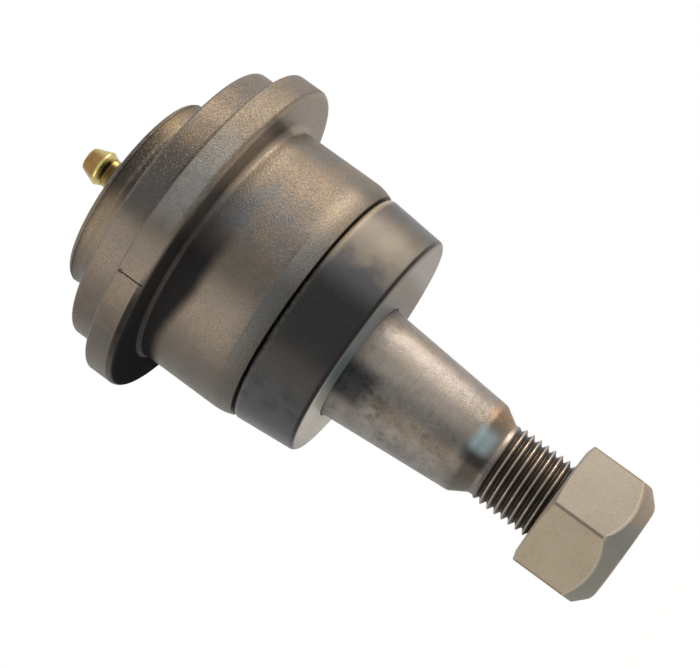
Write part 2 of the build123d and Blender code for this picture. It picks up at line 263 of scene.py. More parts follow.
def new_tree(name, kind, values, outputs):
    """A node group: its main input, the named values, and the material if it makes geometry."""
    socket_kinds = {bool: "Bool", int: "Int", float: "Float", tuple: "Vector"}
    geometry = kind == "Geometry"
    tree = bpy.data.node_groups.new(name, kind + "NodeTree")
    main = "Geometry" if geometry else "Vector"
    sockets = [(main, main, None)]
    sockets += [(label, socket_kinds[type(value)], value) for label, value in values.items()]
    if geometry:
        sockets.append(("Material", "Material", None))
    for label, socket, value in sockets:
        item = tree.interface.new_socket(label, in_out="INPUT", socket_type="NodeSocket" + socket)
        if value is not None:
            item.default_value = value
    result = "NodeSocketGeometry" if geometry else "NodeSocketFloat"
    for label in outputs:
        tree.interface.new_socket(label, in_out="OUTPUT", socket_type=result)
    make = Nodes(tree)
    start = {socket.name: Field(make, socket) for socket in make.add("NodeGroupInput").outputs}
    return make, start, make.add("NodeGroupOutput").inputs


def finish_geometry(make, start, end, geometry):
    """The last nodes of every geometry tree: plain geometry with its material."""
    realized = make.add("GeometryNodeRealizeInstances", {"Geometry": geometry})
    coated = {"Geometry": realized, "Material": start["Material"]}
    make.feed(end["Geometry"], make.add("GeometryNodeSetMaterial", coated))


def flat_grid(make, start, rows):
    """A grid of rows with one column more than the segments, and its points' row and column."""
    columns = start["Segments"] + 1
    grid = make.add("GeometryNodeMeshGrid", {"Vertices X": rows, "Vertices Y": columns})
    index = make.read("Index", "GeometryNodeInputIndex")
    row = make.calc("FLOOR", (index + 0.5) / columns)
    return grid, row, index - row * columns


def wrap_grid(make, start, end, grid, radius, turn, height, edge):
    """Bends a grid round an upright axis, keeps its edge mask and closes its seams."""
    x, y = (radius * make.calc(wave, turn) for wave in ("COSINE", "SINE"))
    position = make.vector(x - start["Axis Offset"], y, height)
    kept = {"Geometry": grid, "Name": "edge", "Value": edge}
    kept = make.add("GeometryNodeStoreNamedAttribute", kept, data_type="FLOAT", domain="POINT")
    placed = make.add("GeometryNodeSetPosition", {"Geometry": kept, "Position": position})
    merged = make.add("GeometryNodeMergeByDistance", {"Geometry": placed, "Distance": SEAM_GAP})
    finish_geometry(make, start, end, merged)


def turned_solid_tree():
    """Turns an outline of radius and height round an upright axis."""
    values = {"Segments": 192, "Axis Offset": 0.0}
    make, start, end = new_tree("Turned Solid", "Geometry", values, ["Geometry"])
    outline = {"Geometry": start["Geometry"]}
    count = make.read("Point Count", "GeometryNodeAttributeDomainSize", outline, component="MESH")
    grid, row, column = flat_grid(make, start, count)
    turn = column * math.tau / start["Segments"]
    sample = "GeometryNodeSampleIndex"
    place, edge = (
        make.add(sample, {**outline, "Value": value, "Index": row}, data_type=kind)
        for kind, value in (
            ("FLOAT_VECTOR", make.add("GeometryNodeInputPosition")),
            ("FLOAT", make.add("GeometryNodeInputNamedAttribute", {"Name": "edge"})),
        )
    )
    radius, _, height = make.apart(place)
    wrap_grid(make, start, end, grid, radius, turn, height, edge)


def threaded_rod_tree():
    """A right-handed thread that runs out at its top and is chamfered at its closed end."""
    values = {
        "Radius": THREAD_RADIUS * MM,
        "Pitch": THREAD_PITCH * MM,
        "Depth": THREAD_DEPTH * MM,
        "Top": RELIEF_END * MM,
        "Bottom": STUD_END * MM,
        "Relief Radius": RELIEF_RADIUS * MM,
        "Run Out": 2.2 * MM,
        "Chamfer": 1.0 * MM,
        "Rows Per Turn": 20,
        "Segments": 192,
        "Axis Offset": SOCKET_AXIS * MM,
    }
    make, start, end = new_tree("Threaded Rod", "Geometry", values, ["Geometry"])
    labels = "Radius", "Pitch", "Depth", "Relief Radius"
    outer, pitch, depth, relief = (start[label] for label in labels)
    length = start["Top"] - start["Bottom"]
    step = pitch / start["Rows Per Turn"]
    rows = make.calc("CEIL", length / step) + 2
    grid, row, column = flat_grid(make, start, rows)
    share_of_turn = column / start["Segments"]
    down = make.calc("MINIMUM", row * step, length)
    height = start["Top"] - down
    phase = make.calc("FRACT", height / pitch - share_of_turn)
    slope = make.calc("ABSOLUTE", phase * 2 - 1)
    ridge = make.calc("SMOOTH_MAX", make.span(slope, 0.16, 0.90, kind="LINEAR"), 0.0, 0.10)
    cut = make.calc("MINIMUM", ridge, 1.0) * depth + (outer - depth)
    ready = make.span(down, 0.0, start["Run Out"])
    body = (cut - relief) * ready + relief
    tip = outer - start["Chamfer"] + (length - down)
    not_last = make.calc("LESS_THAN", row, rows - 1.5)
    radius = make.calc("MINIMUM", body, tip) * not_last
    edge = ridge * ready * not_last
    wrap_grid(make, start, end, grid, radius, share_of_turn * math.tau, height, edge)


def wound_wire_tree():
    """A wire wound round a ring when it is closed, and up a straight line when it isn't."""
    values = {
        "Ring Radius": 0.0,
        "Coil Radius": 0.5 * MM,
        "Wire Radius": 0.15 * MM,
        "Turns": 10.0,
        "Points Per Turn": 12,
        "Rise": 0.0,
        "Foot": (0.0, 0.0, 0.0),
        "Closed": False,
    }
    make, start, end = new_tree("Wound Wire", "Geometry", values, ["Geometry"])
    count = start["Turns"] * start["Points Per Turn"]
    line = make.add("GeometryNodeMeshLine", {"Count": count})
    along = make.read("Index", "GeometryNodeInputIndex") / count
    wind = along * start["Turns"] * math.tau
    swing = along * math.tau
    waves = "COSINE", "SINE"
    outwards, upwards = (make.calc(wave, wind) * start["Coil Radius"] for wave in waves)
    reach = outwards + start["Ring Radius"]
    ring = make.vector(*(reach * make.calc(wave, swing) for wave in waves), upwards)
    straight = make.vector(outwards, upwards, along * start["Rise"])
    ways = {"Switch": start["Closed"], "False": straight, "True": ring}
    choice = make.read(0, "GeometryNodeSwitch", ways, input_type="VECTOR")
    place = make.vector_calc("ADD", choice, start["Foot"])
    placed = make.add("GeometryNodeSetPosition", {"Geometry": line, "Position": place})
    curve = make.add("GeometryNodeMeshToCurve", {"Mesh": placed})
    closed = {"Geometry": curve, "Cyclic": start["Closed"]}
    closed = make.add("GeometryNodeSetSplineCyclic", closed)
    section = {"Resolution": 8, "Radius": start["Wire Radius"]}
    section = make.add("GeometryNodeCurvePrimitiveCircle", section)
    wire = {"Curve": closed, "Profile Curve": section, "Fill Caps": True}
    wire = make.add("GeometryNodeCurveToMesh", wire)
    smooth = make.add("GeometryNodeSetShadeSmooth", {"Geometry": wire, "Shade Smooth": True})
    finish_geometry(make, start, end, smooth)


# ---- Shader groups ----
def grain_group():
    """Blasted or plated grain: fine shade, single bright grains that some materials paint as
    glints, and height.
    """
    outputs = ["Shade", "Sparkle", "Height"]
    make, start, end = new_tree("Blasted Grain", "Shader", {"Size": 0.0003}, outputs)
    scale = make.calc("DIVIDE", 1.0, start["Size"])
    noise = make.noise(start["Vector"], scale, 3.0, 0.62)
    cells = make.add("ShaderNodeTexVoronoi", {"Vector": start["Vector"], "Scale": scale * 1.4})
    chance = make.read(0, "ShaderNodeSeparateColor", {"Color": cells.outputs["Color"]})
    near = make.span(cells.outputs["Distance"], 0.10, 0.48, 1.0, 0.0)
    make.feed(end["Shade"], make.span(noise, 0.28, 0.72))
    make.feed(end["Sparkle"], make.span(chance, 0.55, 0.95) * near)
    make.feed(end["Height"], near * 0.35 + noise)


def patch_group():
    """Soft stains of one size, with finer ones at their rims."""
    values = {"Size": 0.01, "Cover": 0.5, "Soft": 0.2}
    make, start, end = new_tree("Soft Patches", "Shader", values, ["Mask"])
    scale = make.calc("DIVIDE", 1.0, start["Size"])
    noise = make.noise(start["Vector"], scale, 5.0, 0.58, 0.4)
    middle = make.calc("SUBTRACT", 1.0, start["Cover"])
    make.feed(end["Mask"], make.span(noise, middle - start["Soft"], middle + start["Soft"]))


def turning_group():
    """Fine rings left by turning, round an upright axis."""
    values = {"Axis Offset": 0.0, "Spacing": 0.0003}
    make, start, end = new_tree("Turning Rings", "Shader", values, ["Shade", "Height"])
    x, y, z = make.apart(start["Vector"])
    x = x + start["Axis Offset"]
    radius = make.vector_calc("LENGTH", make.vector(x, y))
    scale = make.calc("DIVIDE", 1.0, start["Spacing"])
    steps = make.vector(radius * scale, z * scale, make.calc("ARCTAN2", y, x) * 0.7)
    rings = make.noise(steps, 1.0, 2.0, 0.7)
    make.feed(end["Shade"], make.span(rings, 0.3, 0.7))
    make.feed(end["Height"], rings)


def edge_group():
    """Masks of worn outer edges and of inner corners, which the materials darken as painted shade,
    from the attribute of the mesh.
    """
    make, start, end = new_tree("Edges And Corners", "Shader", {"Size": 0.0012}, ["Worn", "Corner"])
    edge = make.read("Fac", "ShaderNodeAttribute", attribute_name="edge")
    scale = make.calc("DIVIDE", 1.0, start["Size"])
    broken = make.span(make.noise(start["Vector"], scale, 4.0, 0.65), 0.35, 0.65, 0.15, 1.0)
    make.feed(end["Worn"], make.span(edge, 0.15, 1.0) * broken)
    make.feed(end["Corner"], make.span(edge, -0.1, -1.0))


# ---- Materials ----
def shaded(value, brightness):
    """A colour made darker or brighter."""
    return [min(1.0, part * brightness) for part in value]


class Coat:
    """One material under way: its shader, its own coordinates and its tone so far."""

    def __init__(self, name, base, **sockets):
        self.material = bpy.data.materials.new(name)
        self.make = cleared(self.material)
        self.shader = self.make.add("ShaderNodeBsdfPrincipled")
        for label, value in sockets.items():
            self.set(label.replace("_", " "), value)
        output = self.make.add("ShaderNodeOutputMaterial")
        self.make.feed(output.inputs["Surface"], self.shader)
        self.place = self.make.read("Object", "ShaderNodeTexCoord")
        self.side, self.depth, self.height = self.make.apart(self.place)
        self.tone = base

    def set(self, label, value):
        self.make.feed(self.shader.inputs[label], value)

    def group(self, name, **values):
        tree = bpy.data.node_groups[name]
        node = self.make.add("ShaderNodeGroup", {"Vector": self.place}, node_tree=tree)
        for label, value in values.items():
            node.inputs[label.replace("_", " ")].default_value = value
        return [Field(self.make, socket) for socket in node.outputs]

    def grains(self, size):
        """Shade, sparkle and height of a grain whose size is in millimetres."""
        return self.group("Blasted Grain", Size=size * MM)

    def patches(self, size, cover, soft):
        return self.group("Soft Patches", Size=size * MM, Cover=cover, Soft=soft)[0]

    def rings(self, axis, spacing):
        return self.group("Turning Rings", Axis_Offset=axis * MM, Spacing=spacing * MM)

    def edges(self, size):
        return self.group("Edges And Corners", Size=size * MM)

    def area(self, side=None, height=None):
        """A mask by place in millimetres: two numbers are a ramp's ends and four a window's."""
        masks = []
        for value, ends in ((self.side, side), (self.height, height)):
            if ends:
                shape = self.make.window if len(ends) == 4 else self.make.ramp
                masks.append(shape(value, *ends))
        return reduce(mul, masks)

    def stain(self, tone, *masks):
        """Lays a tone over the tone so far, by the product of the masks."""
        self.tone = self.make.mix(reduce(mul, masks), self.tone, tone)

    def tint(self, factors, *masks):
        """Multiplies the tone so far by three factors where the masks hold."""
        self.stain(self.make.vector_calc("MULTIPLY", self.tone, factors), *masks)

    def bump(self, height, distance, strength, after=None):
        inputs = {"Height": height, "Distance": distance * MM, "Strength": strength}
        return self.make.read("Normal", "ShaderNodeBump", {**inputs, "Normal": after})

    def done(self, rough, normal):
        self.set("Base Color", self.tone)
        self.set("Roughness", rough)
        self.set("Normal", normal)
        return self.material


def blasted_steel(name, base, dark, grain=0.30, rough=(0.36, 0.54)):
    """Blasted steel with blue-grey and brown stains, and painted light: a dark band of painted
    shade and reflection below the flange, painted highlights, and painted shade in corners.
    """
    coat = Coat(name, base, Specular_IOR_Level=0.0)
    stain, tint, area = coat.stain, coat.tint, coat.area
    make, side, height = coat.make, coat.side, coat.height
    shade, sparkle, bumps = coat.grains(grain)
    wide, small = coat.patches(14, 0.45, 0.16), coat.patches(3, 0.40, 0.12)
    worn, corner = coat.edges(1.2)

    # Stains all over.
    stain(dark, make.calc("MINIMUM", small * 0.30 + wide * 0.40, 1.0))
    stain((0.180, 0.130, 0.084), coat.patches(5, 0.38, 0.12), 0.52)
    stain((0.090, 0.099, 0.105), coat.patches(8, 0.42, 0.12), 0.62)

    # Land and boss, with painted light and shade.
    # Painted highlight: a pale band on the land, left of the middle.
    stain(shaded(base, 1.9), area((-22, -10.5, -8, -3), (-9, -4)), 0.70)
    # Painted reflection: the land's front lighter and cooler.
    tint((1.20, 1.25, 1.36), area((0, 4, 9, 13), (-7, -6, 8, 9)))
    # Painted shade: the boss darker at both sides.
    sides = area((-7, -3, 6, 11)), area((16.5, 18.5, 22, 24))
    boss = area(height=(13.6, 15, 18.8, 19.4))
    tint((0.72, 0.74, 0.80), boss, make.calc("MAXIMUM", *sides))
    # Painted shadow: a dark line on the boss just above the flange.
    tint((0.46, 0.44, 0.42), area((-1, 7), (13.5, 13.8, 14.5, 15)))

    # Painted highlight on the land's right, painted cool shade and reflection on the lead-in, and
    # the flange's rim a lighter grey over the front.
    off_middle = make.calc("ABSOLUTE", height + 1.0 * MM)
    lit = area((5, 11, 17.5, 20)), make.ramp(off_middle, 4, 6.5)
    stain(shaded(base, 2.1), *lit, make.ramp(height, 9, 8.5, 0, 0.5))
    # The lead-in's painted shade is darker towards -X and lighter towards +X.
    painted_cool_light_and_shade = make.mix(area((-1, 5)), (0.083, 0.090, 0.092), (0.165, 0.170, 0.168))
    stain(painted_cool_light_and_shade, area((-22, -8, 7, 14), (-10.8, -10.4, -7.1, -6.8)), 0.8)
    rim = area((-6, 2, 9, 18), (9, 9.6, 13.2, 13.6))
    stain((0.222, 0.226, 0.222), rim, make.by(small, 0.78, 0.52))

    # Brown collar, with a painted highlight towards -X and painted shade in its middle.
    collar = area(height=(19.2, 19.8))
    stain((0.122, 0.096, 0.062), collar, make.ramp(side, -10, -2, 0.28, 0.75))
    # Painted highlight on the collar towards -X.
    stain((0.240, 0.185, 0.125), collar, area((-15, -11, -6.5, -3.5)), 0.55)
    # Painted shade in the collar's middle.
    stain(shaded(dark, 0.5), collar, area((-5, -1.5, 6.5, 11)), 0.82)

    # Grain, painted glints, worn edges, painted shade in the corners above the flange's root, and a
    # painted highlight on the fillet and the flange's underside towards +X.
    stain(shaded(dark, 0.7), shade, 0.34)
    # Painted glints: more bright grains where the lamp's highlight falls.
    painted_glint_share = area((-2, 4, 13, 20)) * 0.30 + 0.22
    stain((0.36, 0.34, 0.31), sparkle, painted_glint_share)
    stain(shaded(base, 1.9), worn, 0.34)
    # Painted shade in the inner corners above the flange's root.
    stain(shaded(dark, 0.45), corner, 0.5, area(height=(9, 10)))
    # Painted highlight on the fillet and the flange's underside, weaker where dip falls.
    dip = make.span(area((16, 19, 20.3, 21.5)), 0.0, 1.0, 1.0, 0.15, "LINEAR")
    stain(shaded(base, 2.6), area((4, 13), (6.6, 7.2, 8.3, 8.8)), dip, 0.8)

    # Painted shade and reflection: a dark band below the flange and on its underside. It has no
    # metal's shine.
    wander = wide * (0.5 * MM) + height - make.ramp(side, -19, -8, 2.2 * MM, 0)
    painted_dark_band = make.window(wander, 1.5, 4, 10.2, 10.8) * area((6, -5), (8.9, 8.3))
    painted_ledge_shade = area((-9, -17), (8.2, 8.6, 9.15, 9.5))
    painted_ledge_shade = painted_ledge_shade * make.ramp(side, -29, -20, 0.45, 0.92)
    painted_dark_band = make.calc("MAXIMUM", painted_dark_band * make.span(corner, 0.80, 0.97, 1.0, 0.72), painted_ledge_shade)
    stain((0.016, 0.017, 0.020), painted_dark_band, 0.95)
    coat.set("Metallic", make.span(painted_dark_band, 0.0, 1.0, 0.92, 0.0, "LINEAR"))
    return coat.done(make.by(shade, rough[1], rough[0]), coat.bump(bumps, 0.075, 1.0))


def turned_steel(name, base, dark):
    """The stud: brown film, heat tints round the relief, painted light and shade along it, and
    painted highlights and shade on the thread.
    """
    coat = Coat(name, base, Metallic=0.95)
    stain, tint, area = coat.stain, coat.tint, coat.area
    make = coat.make
    lines, ridges = coat.rings(SOCKET_AXIS, 0.22)
    wide, small = coat.patches(5, 0.48, 0.12), coat.patches(1.1, 0.42, 0.10)
    shade, sparkle, bumps = coat.grains(0.28)

    # Film, with painted shade that makes it darker to -X, and painted light and shade in bands
    # along the stud.
    film_and_painted_shade = small * 0.24 + wide * 0.24 + 0.07 + area((-1, -5)) * 0.45
    film_and_painted_shade = make.calc("MINIMUM", film_and_painted_shade, 1.0)
    stain(dark, film_and_painted_shade)
    # Painted light and shade by side: lighter in the middle, darker from -6 to -2 mm, lighter and
    # cooler past -7 mm, and a cooler highlight from 2 to 5 mm.
    for factors, ends in (
        ((1.17, 1.20, 1.20), (-2.6, -0.6, 1.4, 2.8)),
        ((0.80, 0.86, 0.93), (-6.2, -4.4, -3.4, -1.6)),
        ((1.32, 1.42, 1.50), (-7, -9.5)),
        ((0.90, 0.95, 1.06), (1.6, 2.8, 4.2, 5.6)),
    ):
        tint(factors, area(ends))
    stain(shaded(dark, 0.6), lines, 0.14)
    # Painted glints: more bright grains where the highlight falls.
    painted_glint_share = area((0.5, 2.5, 4.5, 6.5)) * 0.40 + 0.35
    stain((0.46, 0.44, 0.40), sparkle, painted_glint_share)

    # Dirt near the boot.
    wander = wide * (2.5 * MM) + coat.height
    dirt = make.window(wander, -30, -25.5, -15, -12), area((-10.5, -8, -4.5, -1.5))
    stain((0.020, 0.024, 0.028), *dirt, make.by(small, 0.86, 0.94))

    # The relief: grey, with a dark smear, a blue spot and rust.
    end = (RELIEF_END - 0.8, RELIEF_END + 0.4, TAPER_END + 0.2, TAPER_END + 2.2)
    stain((0.085, 0.078, 0.068), area(height=end), 0.45)
    stain((0.034, 0.036, 0.040), area((-6.3, -4.9, -4, -2.6), end), 0.78)
    spot = (RELIEF_END - 0.2, RELIEF_END + 1.6, TAPER_END + 0.1, TAPER_END + 1.9)
    spot = area((-4.3, -2.2, -0.4, 1.7), spot)
    stain((0.300, 0.415, 0.480), spot, make.by(wide, 0.92, 0.70))
    rust = area((1.6, 3.4, 8, 9), end)
    stain((0.300, 0.198, 0.130), rust, make.by(small, 0.80, 0.45))

    # Painted shade in the thread's valleys and painted highlights on its ridges.
    threaded = area(height=(RELIEF_END - 0.4, RELIEF_END - 1.6))
    crest = make.read("Fac", "ShaderNodeAttribute", attribute_name="edge")
    stain((0.026, 0.021, 0.019), make.span(crest, 0.62, 0.12), threaded, 0.90)
    stain((0.48, 0.41, 0.35), make.span(crest, 0.70, 0.96), threaded, 0.65)
    # Painted shade in the inner corners.
    stain(shaded(dark, 0.4), coat.edges(1.0)[1], 0.5)

    normal = coat.bump(bumps, 0.035, 0.8, coat.bump(ridges, 0.008, 0.6))
    return coat.done(film_and_painted_shade * 0.22 + 0.32 + shade * 0.10, normal)


def zinc(name, base, dark):
    """Matt zinc, with painted shade that makes it greyer and darker on the cone that rounds off the
    corners of the lower end.
    """
    coat = Coat(name, base, Metallic=0.30, Specular_IOR_Level=0.4)
    stain, tint, area = coat.stain, coat.tint, coat.area
    make = coat.make
    shade, sparkle, bumps = coat.grains(0.34)
    radius = make.vector_calc("LENGTH", make.vector(coat.side + SOCKET_AXIS * MM, coat.depth))
    start = (NUT_CONE_RADIUS - NUT_CONE * NUT_BOTTOM) * MM
    inside_cone = coat.height * NUT_CONE + start - radius
    stain(dark, coat.patches(6, 0.48, 0.18), 0.30)
    stain(shaded(dark, 0.9), coat.patches(0.7, 0.38, 0.08), 0.42)
    stain(dark, shade, 0.16)
    stain(shaded(base, 1.35), sparkle, 0.22)
    stain((0.112, 0.092, 0.068), make.ramp(radius, 12.65, 12.70), 0.65)
    # Painted light: the faces towards -X lighter and warmer.
    tint((1.25, 1.17, 1.02), area((-2.3, -3.2)))
    # Painted shade on the cone: cool grey towards -X, warm brown towards +X.
    painted_cool_light_and_shade = make.mix(area((4, 0)), (0.290, 0.240, 0.212), (0.180, 0.208, 0.212))
    stain(painted_cool_light_and_shade, make.ramp(inside_cone, 0.35, 0.05), 0.75)
    stain(shaded(base, 1.5), make.window(inside_cone, 0.28, 0.38, 0.46, 0.62), 0.55)
    return coat.done(make.by(shade, 0.62, 0.50), coat.bump(bumps, 0.042, 0.8))


def rubber(name, base, dust_and_sheen):
    """Semi-gloss rubber with a patchy pale bloom that is partly painted sheen, painted highlights
    towards +X, and a painted pale reflection on the faces that look down.
    """
    coat = Coat(name, base, Metallic=0.0, Specular_IOR_Level=0.25)
    stain, area = coat.stain, coat.area
    make, side = coat.make, coat.side
    wide, small = coat.patches(7, 0.40, 0.12), coat.patches(1.6, 0.30, 0.07)
    shade, sparkle, bumps = coat.grains(0.30)
    noise = make.noise(coat.place, 1 / (3.2 * MM), 4.0, 0.5)

    # Grey bloom on the wall, partly dust and partly painted sheen: patches towards -X, a band
    # beside the +X highlight, and the -X end.
    bloom_and_sheen = wide * (small * 0.5 + 0.5) * make.ramp(side, -3, -14, 0.12, 0.75)
    bloom_and_sheen = make.calc("MAXIMUM", bloom_and_sheen, area((3, 8.5, 11, 15)))
    end = make.ramp(side, -9, -16, 0, 0.75) * make.ramp(side, -22, -17.5, 0.45, 1)
    bloom_and_sheen = make.calc("MAXIMUM", bloom_and_sheen, end * make.span(noise, 0.36, 0.60, 0.50, 1.15))
    stain((0.086, 0.098, 0.112), bloom_and_sheen, 0.55)

    # Painted highlight towards +X, in patchy dust colours, and a painted highlight on the brim
    # above it.
    drift = side + make.span(noise, 0.34, 0.66, -1.4 * MM, 1.2 * MM)
    stain(
        make.mix(wide, shaded(dust_and_sheen, 1.4), (0.222, 0.190, 0.158)),
        make.ramp(drift, 7.6, 13.2),
        make.ramp(side, 21.5, 16.5),
        make.by(wide, 0.80, 1.0),
        make.span(noise, 0.36, 0.60, 1.0, 0.86),
        make.ramp(coat.height, -20.5, -16.5, 0.78, 1),
        make.by(small, 1.0, 0.86),
    )
    # Painted highlight on the brim, towards +X.
    brim = area((5.5, 12), (-12, -11.3))
    stain((0.270, 0.225, 0.165), brim, make.span(shade, 0.1, 0.9, 0.45, 0.95))

    # Painted shade on the turn into the underside, a painted reflection on the underside, and
    # painted light on its pale ends, with warm brown spots.
    down = make.apart(make.read("Normal", "ShaderNodeNewGeometry"))[2]
    turn = make.span(down, -0.12, -0.30), make.span(down, -0.80, -0.62)
    stain(shaded(base, 0.8), *turn, area(height=(-20.6, -20.9)))
    # Painted reflection on the faces that look down: blue-grey, warm towards +X.
    low = make.span(down, -0.70, -0.93)
    warm = area((3, 11)) * make.by(small, 0.9, 0.6)
    painted_underside_reflection = make.mix(warm, (0.150, 0.186, 0.216), (0.232, 0.192, 0.158))
    stain(painted_underside_reflection, low, make.by(wide, 0.85, 1.0))
    # Painted light: the underside's ends pale, mostly towards -X.
    ends = make.ramp(make.calc("ABSOLUTE", side), 6, 15)
    ends = low * ends * area((-22.5, -17, -6, 4)) * 0.95
    stain((0.56, 0.54, 0.49), ends)
    stain((0.30, 0.23, 0.16), ends, make.span(small, 0.4, 1.0, 0.0, 0.55))

    stain(shaded(dust_and_sheen, 1.2), sparkle, 0.20)
    stain(shaded(dust_and_sheen, 1.5), coat.edges(0.8)[0], area(height=(-19, -16)), 0.22)
    rough = bloom_and_sheen * 0.14 + 0.27 + shade * 0.08
    return coat.done(rough, coat.bump(bumps, 0.012, 0.7))


def plated(name, base, metallic, rough, axis=COVER_AXIS, stain=0.3, painted_tip_and_neck=False):
    """Small turned parts: faint rings and stains and painted shade in inner corners, with a painted
    brown reflection on the tip and painted shade on the neck when asked for.
    """
    coat = Coat(name, base, Metallic=metallic)
    small = coat.patches(1.4, 0.42, 0.12)
    worn, corner = coat.edges(0.6)
    coat.stain(shaded(base, 0.30), small, stain)
    if painted_tip_and_neck:
        # Painted reflection: the tip's cone brown across its middle.
        coat.tint((0.55, 0.40, 0.36), coat.area((-5, -3.4, -0.8, 0.6), (32.3, 32.7)))
        # Painted shade: the neck dark across its middle.
        coat.tint((0.16, 0.12, 0.10), coat.area((-4.6, -3, -0.6, 1), (29.5, 30, 31.2, 31.9)))
    # Painted shade in the inner corners.
    coat.stain(shaded(base, 0.18), corner, 0.7)
    coat.stain(shaded(base, 1.3), worn, 0.3)
    normal = coat.bump(coat.rings(axis, 0.2)[1], 0.006, 0.7)
    return coat.done(small * 0.15 + rough, normal)


# ---- Meshes ----
def add_object(name, data):
    """A new object in the scene."""
    thing = bpy.data.objects.new(name, data)
    bpy.context.scene.collection.objects.link(thing)
    return thing


def write_mesh(work, mesh):
    """Ends a work mesh and keeps what it holds."""
    work.to_mesh(mesh)
    work.free()
    return mesh


def rounded(corners, closed=False, longest=None):
    """Points (radius, height, edge) of an outline whose corners are (radius, height, rounding)."""
    steps = 7          # chords of one rounding
    most_spare = 0.6   # longest flat next to a rounding on which its edge mask fades
    least_edge = 0.35  # edge mask where a rounding starts
    points = []
    count = len(corners)
    for i, (radius, height, *rest) in enumerate(corners):
        size = rest[0] if rest else 0
        here = Vector((radius, height))
        if not size or (not closed and i in (0, count - 1)):
            points.append((radius, height, 0.0))
            continue
        back = Vector(corners[i - 1][:2]) - here
        on = Vector(corners[(i + 1) % count][:2]) - here
        a, b = back.normalized(), on.normalized()
        half = a.angle(b) / 2
        reach = size / math.tan(half)
        middle = here + (a + b).normalized() * size / math.sin(half)
        outer = 1.0 if back.x * on.y - back.y * on.x < 0 else -1.0
        spare = min(most_spare, 0.3 * (back.length - reach))
        points.append((*(here + a * (reach + spare)), 0.0))
        start, stop = here + a * reach - middle, here + b * reach - middle
        sweep = math.pi - 2 * half
        turn = sweep if start.x * stop.y - start.y * stop.x > 0 else -sweep
        for step in range(steps + 1):
            part = step / steps
            spoke = start.copy()
            spoke.rotate(Matrix.Rotation(turn * part, 2))
            edge = least_edge + (1 - least_edge) * math.sin(math.pi * part)
            points.append((*(middle + spoke), outer * edge))
        spare = min(most_spare, 0.3 * (on.length - reach))
        points.append((*(here + b * (reach + spare)), 0.0))
    if closed:
        points.append(points[0])
    return divided(points, longest) if longest else points


def divided(points, longest):
    """The same outline with rows no further apart than longest."""
    result = [points[0]]
    for before, after in zip(points, points[1:]):
        parts = max(1, math.ceil(math.dist(before[:2], after[:2]) / longest))
        for part in range(1, parts + 1):
            share_along = part / parts
            result.append(tuple(a + (b - a) * share_along for a, b in zip(before, after)))
    return result


def grow(name, tree, material, values, mesh=None):
    """Runs a geometry tree once and keeps the result as a plain mesh."""
    piece = add_object(name, mesh or bpy.data.meshes.new(name))
    modifier = piece.modifiers.new("Shape", "NODES")
    modifier.node_group = bpy.data.node_groups[tree]
    sockets = modifier.node_group.interface.items_tree
    sockets = {item.name: item.identifier for item in sockets if item.in_out == "INPUT"}
    for label, value in {**values, "Material": material}.items():
        modifier[sockets[label]] = value
    return applied(piece)


def applied(piece):
    """Turns a piece's modifiers into its mesh."""
    bpy.context.view_layer.update()
    shown = piece.evaluated_get(bpy.context.evaluated_depsgraph_get())
    mesh = bpy.data.meshes.new_from_object(shown)
    piece.modifiers.clear()
    piece.data = mesh
    return piece


def turned(name, material, corners, axis=HOUSING_AXIS, **ways):
    """A turned solid from the corners of its outline in millimetres."""
    points = rounded(corners, **ways)
    mesh = bpy.data.meshes.new(name)
    mesh.from_pydata([(radius * MM, 0, height * MM) for radius, height, edge in points], [], [])
    layer = mesh.attributes.new("edge", "FLOAT", "POINT")
    layer.data.foreach_set("value", [edge for radius, height, edge in points])
    segments = bpy.context.scene.ball_joint_sizes.segments
    values = {"Segments": segments, "Axis Offset": axis * MM}
    return settle(grow(name, "Turned Solid", material, values, mesh))


def settle(piece, sharp=32):
    """Merges doubles, turns the faces outwards and shades smooth below an angle in degrees."""
    work = bmesh.new()
    work.from_mesh(piece.data)
    bmesh.ops.remove_doubles(work, verts=work.verts, dist=DOUBLE_GAP)
    bmesh.ops.dissolve_degenerate(work, edges=work.edges, dist=SHORT_EDGE)
    bmesh.ops.recalc_face_normals(work, faces=work.faces)
    for face in work.faces:
        face.smooth = True
    write_mesh(work, piece.data).set_sharp_from_angle(angle=math.radians(sharp))
    return piece


def combine(base, tool, operation="DIFFERENCE"):
    """Cuts a closed tool out of a closed piece, or joins or keeps what both fill."""
    modifier = base.modifiers.new("Cut", "BOOLEAN")
    modifier.operation = operation
    modifier.solver = "EXACT"
    modifier.object = tool
    applied(base)
    bpy.data.objects.remove(tool)


def join(base, other):
    """Adds a second mesh to one whose edge it meets."""
    work = bmesh.new()
    for piece in (base, other):
        work.from_mesh(piece.data)
    bmesh.ops.remove_doubles(work, verts=work.verts, dist=JOIN_GAP)
    write_mesh(work, base.data)
    bpy.data.objects.remove(other)


def prism(name, material, flats, corner, heights, axis, turn=0):
    """A hexagon bar with rounded long edges. Flats and corner are in metres, the rest in mm."""
    steps = 6
    reach = flats / math.sqrt(3) - corner / math.cos(math.radians(30))
    ring = []
    for side in range(6):
        heart = math.radians(turn + 60 * side)
        for step in range(steps + 1):
            angle = math.radians(turn + 60 * side - 30 + 60 * step / steps)
            x = reach * math.cos(heart) + corner * math.cos(angle) - axis * MM
            ring.append((x, reach * math.sin(heart) + corner * math.sin(angle)))
    work = bmesh.new()
    low, high = ([work.verts.new((x, y, level * MM)) for x, y in ring] for level in heights)
    for i in range(len(ring)):
        after = (i + 1) % len(ring)
        work.faces.new((low[i], low[after], high[after], high[i]))
    work.faces.new(reversed(low))
    work.faces.new(high)
    mesh = write_mesh(work, bpy.data.meshes.new(name))
    mesh.materials.append(material)
    return add_object(name, mesh)


